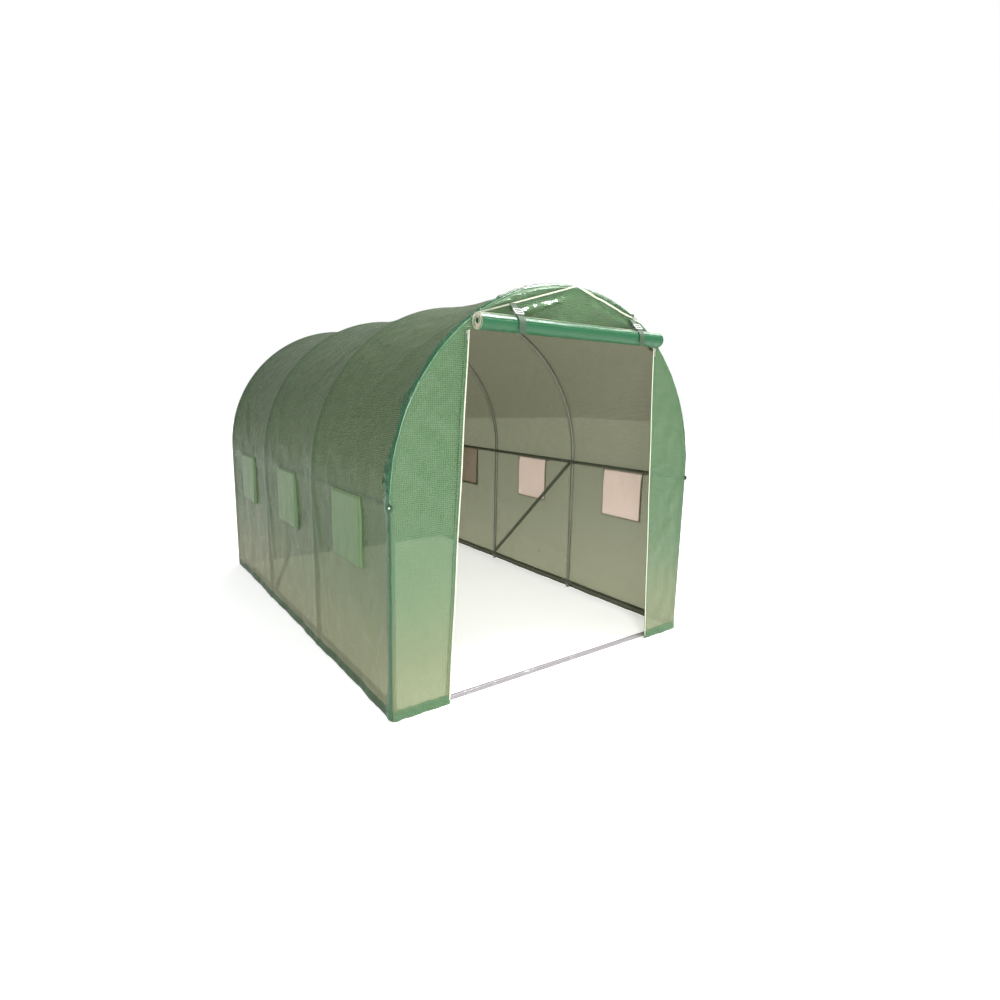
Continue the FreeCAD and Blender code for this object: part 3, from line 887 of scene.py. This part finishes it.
def header():
    """The front gable above the doorway."""
    half = float(arch_half(np.array([DOOR_TOP_Z]))[0])
    marks = [-half, LEFT_TACK[0], PEAK[0], RIGHT_TACK[0], half]
    sheet = cut_sheet("front_header", stations(marks, 0.009), stations([0, 0.5, 1], 1 / 44))
    flat = points(sheet)
    x, t = flat[:, 0], flat[:, 1].copy()
    top = arch_z(x)
    edge = np.minimum(tight_edge(x), top)
    low_part = DOOR_TOP_Z + (edge - DOOR_TOP_Z) * np.clip(t / 0.5, 0, 1)
    z = low_part + (top - edge) * np.clip((t - 0.5) / 0.5, 0, 1)
    flat[:, 1] = z
    lay_out(sheet, flat)
    put(sheet, round_the_hoop(x, header_y(x, z), z))
    edit(
        sheet,
        lambda: bpy.ops.mesh.select_all(action="SELECT"),
        lambda: bpy.ops.mesh.remove_doubles(threshold=0.0004),
    )
    facing(sheet, into_tunnel)
    thicken(sheet, GABLE_OUT, GABLE_IN)
    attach(sheet, ROOT)
    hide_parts("front_gable")
    area = float(np.mean(arch_z(np.linspace(-half, half, 400)) - DOOR_TOP_Z) * 2 * half)
    header_tape("left", LEFT_TACK, PEAK)
    header_tape("right", PEAK, RIGHT_TACK)


def header_tape(side, start, end):
    """A narrow welded tape along one of the header's tight edges."""
    length = math.hypot(end[0] - start[0], end[1] - start[1])
    across = stations([-TAPE_HALF, TAPE_HALF], 0.003)
    tape = cut_sheet(f"header_tape_{side}", stations([0, length], 0.01), across)
    flat = points(tape)
    along = np.array([end[0] - start[0], end[1] - start[1]]) / length
    x = start[0] + along[0] * flat[:, 0] - along[1] * flat[:, 1]
    z = start[1] + along[1] * flat[:, 0] + along[0] * flat[:, 1]
    z = np.minimum(z, arch_z(x) - 0.001)
    lift = 0.0022 + 0.0012 * np.cos(np.pi * flat[:, 1] / TAPE_HALF / 2)
    put(tape, np.stack([x, header_y(x, z) - lift, z], axis=1))
    facing(tape, into_tunnel)
    thicken(tape, ZIP_TEETH, ZIP_TEETH, 0.0008)
    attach(tape, ROOT)


def rear_gable():
    """The closed rear gable, one sheet, loosely hung in its hoop."""
    angles = stations([-90, 0, 90], 2.0)
    sheet = cut_sheet("rear_gable_film", angles, stations([0, 1], 1 / 70))
    flat = points(sheet)
    x = np.sin(np.radians(flat[:, 0])) * (SHELL_R - FILM)
    t = flat[:, 1].copy()
    z = arch_z(x) * t
    flat[:, 0], flat[:, 1] = x, z
    lay_out(sheet, flat)
    rim = np.minimum(SHELL_R - np.hypot(x, np.maximum(z - SPRING_Z, 0)), 0.25) / 0.25
    folds = 0.005 * wave(x, z, 0.21, 78, 9.0) + 0.003 * wave(x, z, 0.12, 60, 10.0)
    y = REAR_Y - rim * (0.012 * bell(z, 1.2, 0.7) - folds)
    put(sheet, np.stack([x, y, z], axis=1))
    facing(sheet, lambda c: c - Vector((0, 1, 0)))
    thicken(sheet, COVER_OUT, COVER_IN)
    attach(sheet, ROOT)
    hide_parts("rear_gable")
    area = 2 * SHELL_R * SPRING_Z + math.pi * SHELL_R**2 / 2


# ---- door ------------------------------------------------------------------------------------
def even_under_blend(count):
    """Places from 0 to 1 whose smoothed weights are evenly spaced."""
    targets = np.linspace(0, 1, count + 1)
    fine = np.linspace(0, 1, 2001)
    return np.interp(targets, fine * fine * (3 - 2 * fine), fine)


def unrolling(name, x0, x1, start, end, travel, axis, finishes, node):
    """A short stretch of sheet that draws out to its full length as its roll goes down."""
    shares = even_under_blend(40)
    across = stations([x0, x1], 0.02)
    sheet = cut_sheet(name, across, shares)
    flat = points(sheet)
    u, t = flat[:, 0], flat[:, 1].copy()
    weight = t * t * (3 - 2 * t)
    rest = start.z - end.z
    flat[:, 1] = -(weight * (travel + rest))
    lay_out(sheet, flat)
    ripple = 0.0008 * wave(u, weight * travel, 0.14, 80, 3.0) * np.sin(np.pi * t)
    where = np.zeros_like(flat)
    across_axis = 1 - axis
    where[:, axis] = u
    where[:, across_axis] = start[across_axis] + (end[across_axis] - start[across_axis]) * t + ripple
    where[:, 2] = start.z - rest * t
    put(sheet, where)
    facing(sheet, lambda c: Vector((0, 0, c.z)))
    thicken(sheet, finishes[0], finishes[1], 0.0006)
    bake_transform(sheet)
    if node:
        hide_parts(node)
    return sheet


def door_sheet():
    back = CURTAIN_HIGH.y
    unrolling(
        "door_sheet",
        CURTAIN_LOW.x,
        CURTAIN_HIGH.x,
        Vector((0, back, CURTAIN_HIGH.z)),
        Vector((0, back, CURTAIN_LOW.z)),
        DOOR_TRAVEL,
        0,
        (GABLE_OUT, GABLE_IN),
        "door_curtain",
    )


ROLL_CORE_R = 0.0125
ROLL_TURNS = 10.5
ROLL_LAYER = 0.0023


def door_roll():
    """The door sheet wound up into a roll, its layers showing at the ends."""
    per_turn = 30
    turns = stations([0, ROLL_TURNS], 1 / per_turn)
    across = stations([ROLL_LOW.x, ROLL_HIGH.x], 0.03)
    sheet = cut_sheet("door_roll_film", across, turns)
    flat = points(sheet)
    x, turn = flat[:, 0], flat[:, 1].copy()
    pitch = (ROLL_R - ROLL_CORE_R - ROLL_LAYER) / ROLL_TURNS
    radius = ROLL_CORE_R + ROLL_LAYER + pitch * turn
    flat[:, 1] = 2 * np.pi * (ROLL_CORE_R * turn + pitch * turn**2 / 2)
    lay_out(sheet, flat)
    angle = 2 * np.pi * (turn - ROLL_TURNS) + np.pi * 0.5
    outer = smooth(turn, ROLL_TURNS - 1.5, ROLL_TURNS)
    dents = np.sin(x * 9 + 1.3 * np.sin(angle)) + 0.6 * np.sin(x * 23 + 2 * angle)
    radius = radius - outer * 0.0011 * (1 + 0.5 * dents)
    ragged = 0.004 * np.sin(turn * 2.3) * np.sign(x) * smooth(np.abs(x), 0.55, 0.6)
    where = np.stack(
        [x + ragged - 0.004 * np.sign(x) * smooth(np.abs(x), 0.55, 0.6),
         ROLL.y + radius * np.cos(angle),
         ROLL.z + radius * np.sin(angle)],
        axis=1,
    )
    put(sheet, where)
    facing(sheet, lambda c: Vector((c.x, ROLL.y, ROLL.z)))
    thicken(sheet, ROLL_OUT, ROLL_OUT, ROLL_LAYER, ROLL_EDGE)
    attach(sheet, "door_roll")
    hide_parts("door_roll")


# ---- straps ----------------------------------------------------------------------------------
def strap_route(low, high):
    """The strap's side view as (y, z) points: down the gable, over the roll, down its front."""
    gable_y, front_y = high.y, low.y
    reach = ROLL.y - front_y
    slope = math.radians(45)
    leaves = (ROLL.y - reach * math.cos(slope), ROLL.z + reach * math.sin(slope))
    corner = (gable_y, leaves[1] + (gable_y - leaves[0]))
    arc = [slope * (1 - k / 6) for k in range(7)]
    over = [(ROLL.y - reach * math.cos(a), ROLL.z + reach * math.sin(a)) for a in arc]
    return [(gable_y, high.z), corner, *over, (front_y, low.z)]


def strap(side):
    """The webbing that holds the rolled door, curling a little."""
    low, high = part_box(f"strap_{side}")
    route = np.array(strap_route(low, high))
    steps = np.hypot(*np.diff(route, axis=0).T)
    run = np.concatenate([[0], np.cumsum(steps)])
    across = stations([low.x, high.x], 0.006)
    piece = cut_sheet(f"strap_webbing_{side}", across, stations([0, float(run[-1])], 0.005))
    flat = points(piece)
    y = np.interp(flat[:, 1], run, route[:, 0])
    z = np.interp(flat[:, 1], run, route[:, 1])
    curl = 0.0006 * np.sin(flat[:, 1] * 60 + flat[:, 0] * 80)
    put(piece, np.stack([flat[:, 0], y + curl, z], axis=1))
    facing(piece, into_tunnel)
    thicken(piece, STRAP_WEB, STRAP_WEB, 0.0014)
    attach(piece, f"strap_{side}")
    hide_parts(f"strap_{side}")


# ---- zips ------------------------------------------------------------------------------------
def zip_tape(side):
    """A woven tape sewn along the door's edge, with its coil of teeth on the inner edge."""
    sign = SIGNS[side]
    across = stations([0, ZIP_WIDTH], 0.004)
    piece = cut_sheet(f"zip_tape_weave_{side}", across, stations([ZIP_LOW.z, ZIP_HIGH.z], 0.02))
    flat = points(piece)
    x = door_edge(flat[:, 1]) + flat[:, 0]
    wander = 0.0012 * np.sin(flat[:, 1] * 11 + sign)
    y = ZIP_HIGH.y - 0.0012 + 0.0004 * np.sin(flat[:, 1] * 31)
    put(piece, np.stack([sign * (x + wander), y, flat[:, 1]], axis=1))
    facing(piece, into_tunnel)
    thicken(piece, GABLE_OUT, GABLE_IN, 0.0008)
    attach(piece, f"zip_tape_{side}")
    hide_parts(f"zip_tape_{side}")
    coil(side)


def coil(side):
    """The row of zip teeth: one link, copied along the door's edge."""
    sign = SIGNS[side]
    count = int((ZIP_HIGH.z - ZIP_LOW.z) / TOOTH_PITCH)
    bpy.ops.object.select_all(action="DESELECT")
    bpy.ops.mesh.primitive_cylinder_add(vertices=8, radius=TOOTH_R, depth=TOOTH_PITCH * 0.86)
    link = bpy.context.object
    edit(
        link,
        lambda: bpy.ops.mesh.select_all(action="SELECT"),
        lambda: bpy.ops.mesh.bevel(offset=0.0008, segments=1, affect="EDGES"),
        lambda: bpy.ops.transform.resize(value=(1.0, 0.6, 1.0)),
    )
    row = link.modifiers.new("row", "ARRAY")
    row.count = count
    row.use_relative_offset = False
    row.use_constant_offset = True
    row.constant_offset_displace = (0, 0, TOOTH_PITCH)
    only(link)
    bpy.ops.object.modifier_apply(modifier=row.name)
    where = points(link)
    z = where[:, 2] + ZIP_LOW.z + TOOTH_PITCH / 2
    wander = 0.0012 * np.sin(z * 11 + sign)
    where[:, 0] = sign * (door_edge(z) + wander + TOOTH_R) + where[:, 0]
    where[:, 1] = where[:, 1] + ZIP_LOW.y - 0.0012
    where[:, 2] = z
    put(link, where)
    link.name = f"zip_teeth_{side}"
    link.data.materials.append(ZIP_TEETH)
    bpy.ops.object.shade_smooth_by_angle(angle=math.radians(40))
    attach(link, f"zip_tape_{side}")


# ---- windows ---------------------------------------------------------------------------------
def screens():
    """Six panels of netting behind the window openings."""
    low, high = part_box("window_screens")
    for side in SIDES:
        sign = SIGNS[side]
        for bay, mid in zip(BAYS, window_middles()):
            across = stations([mid - WINDOW_HALF - 0.01, mid + WINDOW_HALF + 0.01], 0.02)
            piece = cut_sheet(f"window_net_{bay}_{side}", across, stations([low.z, high.z], 0.02))
            flat = points(piece)
            y, z = flat[:, 0], flat[:, 1]
            slack = np.sin(np.pi * (y - y.min()) / (y.max() - y.min()))
            slack = slack * np.sin(np.pi * (z - low.z) / (high.z - low.z))
            x = high.x - slack * (0.004 + 0.002 * wave(y, z, 0.12, 70, 2.0 + mid)) - 0.006
            put(piece, np.stack([sign * x, y, z], axis=1))
            facing(piece, tunnel_line)
            thicken(piece, NET, NET, 0.0006)
            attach(piece, ROOT)
    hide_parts("window_screens")


def is_rolled(bay, side):
    low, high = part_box(f"window_flap_{bay}_{side}")
    return high.z - low.z < 0.1


def closed_flap(bay, side):
    """A flap hanging shut, with the creases it was packed with and a lifted lower corner."""
    sign = SIGNS[side]
    node = f"window_flap_{bay}_{side}"
    low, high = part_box(node)
    piece = cut_sheet(f"flap_film_{bay}_{side}", stations([low.y, high.y], 0.012),
                      stations([low.z, high.z], 0.012))
    flat = points(piece)
    y, z = flat[:, 0], flat[:, 1]
    drop = smooth(high.z - z, 0.0, 0.30)
    u = (y - low.y) / (high.y - low.y)
    seed = 1.0 + sign + low.y
    folds = 0.0010 * (1 + wave(y, z, 0.12, 92, seed)) + 0.0004 * (1 + wave(y, z, 0.05, 84, seed))
    corner = 0.003 * smooth(1 - u, 0.55, 1.0) * smooth(high.z - z, 0.12, 0.36)
    edge = np.minimum(np.minimum(y - low.y, high.y - y), np.minimum(z - low.z, high.z - z))
    free = smooth(edge, 0.0, 0.013)
    places = wall_places(y, on_side_girth(z, side), 0.0020)
    out = abs(high.x if sign > 0 else low.x) + drop * folds + corner
    places[:, 0] = places[:, 0] * (1 - free) + sign * out * free
    put(piece, places)
    facing(piece, tunnel_line)
    thicken(piece, FLAP_OUT, FLAP_IN, 0.0008)
    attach(piece, node)
    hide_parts(node)


def rolled_flap(bay, side):
    """A flap wound up under the mid rail."""
    sign = SIGNS[side]
    node = f"window_flap_{bay}_{side}"
    low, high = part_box(node)
    centre = (low + high) / 2
    radius = (high.z - low.z) / 2
    turns = 4.25
    core, layer = 0.005, 0.0012
    piece = cut_sheet(f"flap_roll_{bay}_{side}", stations([low.y, high.y], 0.012),
                      stations([0, turns], 1 / 24))
    flat = points(piece)
    y, turn = flat[:, 0], flat[:, 1].copy()
    pitch = (radius - core - layer) / turns
    r = core + layer + pitch * turn
    flat[:, 1] = 2 * np.pi * (core * turn + pitch * turn**2 / 2)
    lay_out(piece, flat)
    angle = 2 * np.pi * (turn - turns) + np.pi * 0.5
    r = r - 0.0008 * (1 + np.sin(y * 40 + angle)) * smooth(turn, turns - 1.5, turns)
    x = centre.x - sign * r * np.cos(angle)
    put(piece, np.stack([x, y, centre.z + r * np.sin(angle)], axis=1))
    facing(piece, lambda c: Vector((centre.x, c.y, centre.z)))
    thicken(piece, ROLL_OUT, COVER_IN, layer * 0.8)
    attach(piece, node)
    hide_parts(node)
    inner_x = low.x if sign > 0 else high.x
    unrolling(
        f"flap_sheet_{bay}_{side}",
        low.y,
        high.y,
        Vector((inner_x, 0, high.z + 0.004)),
        Vector((inner_x, 0, centre.z)),
        FLAP_TRAVEL,
        1,
        (FLAP_OUT, COVER_IN),
        None,
    )


def windows():
    screens()
    for side in SIDES:
        for bay in BAYS:
            if is_rolled(bay, side):
                rolled_flap(bay, side)
            else:
                closed_flap(bay, side)


# ---- frame finishes --------------------------------------------------------------------------
def frame_finishes():
    """The carried-over tubes, bolts and fittings keep their shape and get their finish."""
    finishes = {
        "leg": HOOP_STEEL,
        "shoulder": HOOP_STEEL,
        "crown": HOOP_STEEL,
        "threshold": SILL_STEEL,
        "rear_sill": SILL_STEEL,
        "base_rail": RAIL_STEEL,
        "mid_rail": RAIL_STEEL,
        "ridge_rail": RAIL_STEEL,
        "brace": RAIL_STEEL,
        "frame_bolts": BOLT_ZINC,
        "buckle": BUCKLE_NYLON,
        "zip_slider": ZIP_METAL,
    }
    for name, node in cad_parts.items():
        for start, finish in finishes.items():
            if name.startswith(start):
                for place in node.material_slots:
                    place.material = finish


# ---- floor, light and camera -----------------------------------------------------------------
CAMERA_BACK = 2.211  # in front of the gable
CAMERA_X = -2.040
CAMERA_Z = 1.455
CAMERA_YAW = 36.14
CAMERA_DOWN = 10.05
CAMERA_ROLL = 1.17
CAMERA_LENS = 20.92
SKY_LIGHT = 0.55
SUN_LIGHT = 2.5
FLOOR_LIGHT = 0.48  # the floor glows a little, as a light table does


def camera():
    """Stands low, to the left of the doorway, and looks along the left wall and inside."""
    data = bpy.data.cameras.new("camera")
    data.lens = CAMERA_LENS
    eye = bpy.data.objects.new("camera", data)
    bpy.context.scene.collection.objects.link(eye)
    yaw, down, roll = (math.radians(a) for a in (CAMERA_YAW, CAMERA_DOWN, CAMERA_ROLL))
    ahead = Vector((math.sin(yaw) * math.cos(down), math.cos(yaw) * math.cos(down), -math.sin(down)))
    right = Vector((math.cos(yaw), -math.sin(yaw), 0))
    up = right.cross(ahead)
    turned_right = right * math.cos(roll) + up * math.sin(roll)
    turned_up = turned_right.cross(ahead)
    axes = [turned_right, turned_up, -ahead]
    eye.rotation_mode = "QUATERNION"
    eye.rotation_quaternion = Matrix(axes).transposed().to_quaternion()
    eye.location = (CAMERA_X, FRONT_Y - CAMERA_BACK, CAMERA_Z)
    bpy.context.scene.camera = eye


def area_light(name, place, target, size, power):
    data = bpy.data.lights.new(name, "AREA")
    data.shape = "SQUARE"
    data.size = size
    data.energy = power
    lamp = bpy.data.objects.new(name, data)
    bpy.context.scene.collection.objects.link(lamp)
    lamp.location = place
    lamp.rotation_mode = "QUATERNION"
    lamp.rotation_quaternion = (Vector(target) - Vector(place)).to_track_quat("-Z", "Y")


def sun(towards):
    """A broad soft sun, high on the right and a little behind."""
    data = bpy.data.lights.new("soft_sun", "SUN")
    data.energy = SUN_LIGHT
    data.angle = math.radians(50)
    data.color = (1.0, 0.97, 0.92)
    lamp = bpy.data.objects.new("soft_sun", data)
    bpy.context.scene.collection.objects.link(lamp)
    lamp.rotation_mode = "QUATERNION"
    lamp.rotation_quaternion = towards.to_track_quat("Z", "Y")


def studio():
    """A pale floor that glows a little, soft even sky, two lamps and the sun."""
    bpy.ops.object.select_all(action="DESELECT")
    bpy.ops.mesh.primitive_plane_add(size=60)
    floor = bpy.context.object
    floor.name = "studio_floor"
    finish = Finish("studio_floor")
    grain = finish.noise(finish.place(), 3.0)
    colour = finish.tint(grain, (0.86, 0.86, 0.86, 1), (0.90, 0.90, 0.90, 1))
    lit_floor = {"Base Color": colour, "Roughness": 0.9, "Emission Strength": FLOOR_LIGHT}
    lit_floor["Emission Color"] = (1, 1, 1, 1)
    floor.data.materials.append(finish.done(finish.principled(lit_floor)))
    floor.location.z = -0.002
    world = bpy.data.worlds.new("studio")
    world.use_nodes = True
    nodes, links = world.node_tree.nodes, world.node_tree.links
    soft = nodes["Background"]
    soft.inputs["Color"].default_value = (0.96, 0.98, 1.0, 1)
    soft.inputs["Strength"].default_value = SKY_LIGHT
    backdrop = nodes.new("ShaderNodeBackground")
    backdrop.inputs["Color"].default_value = (1.0, 1.0, 1.0, 1)
    seen = nodes.new("ShaderNodeLightPath")
    either = nodes.new("ShaderNodeMixShader")
    links.new(seen.outputs["Is Camera Ray"], either.inputs[0])
    links.new(soft.outputs[0], either.inputs[1])
    links.new(backdrop.outputs[0], either.inputs[2])
    links.new(either.outputs[0], nodes["World Output"].inputs["Surface"])
    bpy.context.scene.world = world
    area_light("overhead", (1.6, -2.2, 5.0), (-0.2, -1.4, 1.7), 1.0, 260)
    area_light("front_fill", (-3.0, -6.2, 3.2), (0, 0, 0.9), 1.3, 240)
    sun(Vector((0.55, 0.30, 0.80)))
    bpy.context.scene.view_settings.view_transform = "Standard"


camera()
cover()
for wall_side in SIDES:
    wall_hem(wall_side)
front_sleeve()
arch_piping()
header()
for panel_side in SIDES:
    side_panel(panel_side)
    corner_stud(panel_side)
rear_gable()
door_sheet()
door_roll()
for strap_side in SIDES:
    strap(strap_side)
    zip_tape(strap_side)
windows()
frame_finishes()
studio()
